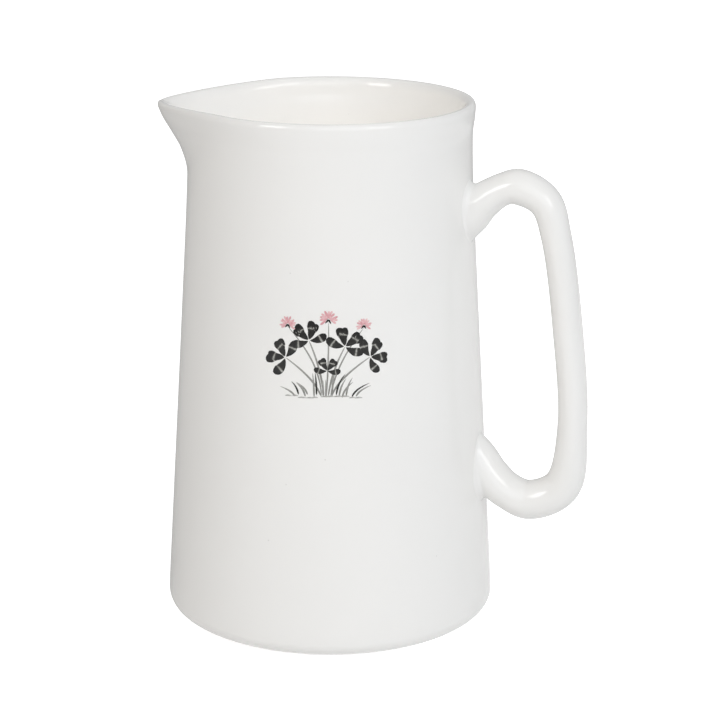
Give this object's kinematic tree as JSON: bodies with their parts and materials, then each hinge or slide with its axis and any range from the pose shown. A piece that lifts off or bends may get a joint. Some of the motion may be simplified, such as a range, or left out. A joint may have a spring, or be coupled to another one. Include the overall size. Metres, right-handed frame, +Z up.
{
  "type": "jug",
  "caption": "Tapered white glazed table jug with a flared round lip, a pulled pouring spout and an ear handle, for holding and pouring drinks.",
  "frame": {"origin": "on the table, under the middle of the overall length from the spout's tip to the handle", "axes": "+Z up, +X from the spout towards the handle, +Y across the jug"},
  "size_m": [0.153, 0.1152, 0.18],
  "materials": {
    "white_glaze": "clear gloss glaze over white earthenware"
  },
  "bodies": {
    "root": {"jug_body": "white_glaze", "handle": "white_glaze", "upper_slip_joint": "white_glaze", "lower_slip_joint": "white_glaze"}
  },
  "joints": []
}
